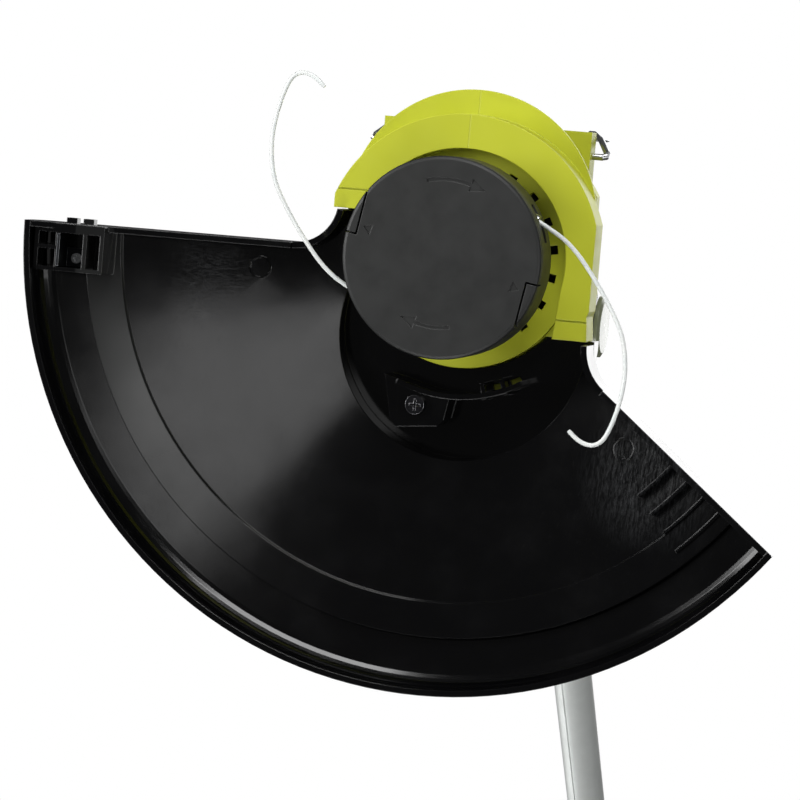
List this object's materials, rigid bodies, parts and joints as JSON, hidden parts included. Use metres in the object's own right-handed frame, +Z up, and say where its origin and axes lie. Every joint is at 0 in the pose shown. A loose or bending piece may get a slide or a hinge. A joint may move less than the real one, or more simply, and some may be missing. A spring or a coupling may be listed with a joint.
{
  "type": "string trimmer",
  "caption": "Corded string trimmer with a bump-feed line head, rear guard, folding edge wire, tilting motor head, telescoping shaft and loop handle.",
  "frame": {"origin": "centre of the spool cap's flat outer face, on the motor's axis", "axes": "+Z up the motor's axis from the spool cap into the housing; +Y from the front hood back over the guard, the way the shaft leans; +X to the side of the tilt button"},
  "size_m": [0.3527, 0.9219, 1.0071],
  "materials": {
    "green_plastic": "semi-gloss moulded polypropylene",
    "cap_plastic": "fine-grained matte nylon",
    "black_plastic": "glossy moulded plastic",
    "dark_plastic": "fine-grained matte plastic",
    "soft_grip": "matte soft overmould",
    "grey_plastic": "smooth glossy plastic",
    "green_ring": "smooth glossy plastic",
    "tube_aluminium": "satin anodised",
    "upper_tube_paint": "black powder coat",
    "steel": "zinc-plated",
    "spring_steel": "bright drawn wire",
    "core_iron": "laminated sheet",
    "copper": "turned copper",
    "contact_brass": "plain brass",
    "nylon_line": "translucent extruded nylon",
    "line_spool_plastic": "moulded plastic",
    "cable_rubber": "matte rubber sheath"
  },
  "bodies": {
    "handle": {"upper_tube": "upper_tube_paint", "collar_sleeve": "dark_plastic", "clamp_lower": "dark_plastic", "clamp_upper": "dark_plastic", "clamp_screws": "steel", "handle_left": "green_plastic", "handle_right": "green_plastic", "handle_screws": "steel", "trigger_pin": "steel", "trigger_spring": "spring_steel", "lock_off_spring": "spring_steel", "switch_body": "dark_plastic", "switch_plunger": "grey_plastic", "cord_inlet": "dark_plastic", "inlet_pins": "contact_brass", "cord_hook": "dark_plastic"},
    "lock_ring": {"lock_collar": "green_plastic"},
    "aux": {"aux_handle": "dark_plastic", "aux_grip": "soft_grip", "aux_bolt": "steel"},
    "knob": {"aux_knob": "dark_plastic"},
    "trigger_lever": {"trigger": "dark_plastic"},
    "lock_off": {"lock_off_button": "dark_plastic"},
    "shaft": {"lower_tube": "tube_aluminium", "tube_knuckle": "green_plastic", "knuckle_screws": "steel", "lower_lead": "cable_rubber"},
    "head": {"housing_left": "green_plastic", "housing_right": "green_plastic", "base_plate": "green_plastic", "motor_stator": "core_iron", "motor_bracket": "dark_plastic", "carbon_brushes": "dark_plastic", "lower_bearing": "steel", "upper_bearing": "steel", "housing_screws": "steel", "guard": "black_plastic", "guard_screw_m4": "steel", "line_cutter": "steel", "cutter_screw": "steel", "pivot_pin": "steel", "pivot_ring": "green_ring", "button_spring": "spring_steel"},
    "button": {"pivot_button": "grey_plastic"},
    "wire": {"edge_wire": "steel"},
    "spool": {"spool_cap": "cap_plastic", "spool_drum": "dark_plastic", "line_eyelets": "steel", "line_spool": "line_spool_plastic", "wound_line": "nylon_line", "feed_spring": "spring_steel", "line_end_a": "nylon_line", "line_end_b": "nylon_line", "drive_hub": "steel", "motor_shaft": "steel", "armature": "core_iron", "commutator": "copper", "cooling_fan": "dark_plastic"}
  },
  "joints": [
    {"name": "shaft_slide", "type": "slide", "parent": "handle", "child": "shaft", "axis": [0, 0.7071, 0.7071], "range_m": [0, 0.2]},
    {"name": "lock_turn", "type": "hinge", "parent": "handle", "child": "lock_ring", "pos_m": [0, 0.37653, 0.57353], "axis": [0, 0.7071, 0.7071], "range_deg": [0, 60]},
    {"name": "head_tilt", "type": "hinge", "parent": "shaft", "child": "head", "pos_m": [0, 0.035, 0.232], "axis": [1, 0, 0], "range_deg": [-45, 45]},
    {"name": "button_press", "type": "slide", "parent": "head", "child": "button", "axis": [1, 0, 0], "range_m": [-0.0025, 0], "stiffness_N_per_m": 600, "springref_m": 0.003, "deforming": ["button_spring"]},
    {"name": "spool_spin", "type": "hinge", "parent": "head", "child": "spool", "pos_m": [0, 0, 0], "axis": [0, 0, 1], "continuous": true},
    {"name": "wire_fold", "type": "hinge", "parent": "head", "child": "wire", "pos_m": [0, -0.05, 0.083], "axis": [1, 0, 0], "range_deg": [0, 90]},
    {"name": "aux_tilt", "type": "hinge", "parent": "handle", "child": "aux", "pos_m": [0, 0.52396, 0.76127], "axis": [1, 0, 0], "range_deg": [-40, 40]},
    {"name": "knob_turn", "type": "hinge", "parent": "aux", "child": "knob", "pos_m": [0, 0.52396, 0.76127], "axis": [1, 0, 0], "continuous": true},
    {"name": "trigger_pull", "type": "hinge", "parent": "handle", "child": "trigger_lever", "pos_m": [0, 0.69332, 0.8691], "axis": [1, 0, 0], "range_deg": [0, 8], "stiffness_Nm_per_rad": 0.6, "springref_deg": -17.19, "deforming": ["trigger_spring"]},
    {"name": "lock_off_press", "type": "slide", "parent": "handle", "child": "lock_off", "axis": [0, 0.7071, -0.7071], "range_m": [0, 0.003], "stiffness_N_per_m": 400, "springref_m": -0.004, "deforming": ["lock_off_spring"]}
  ]
}
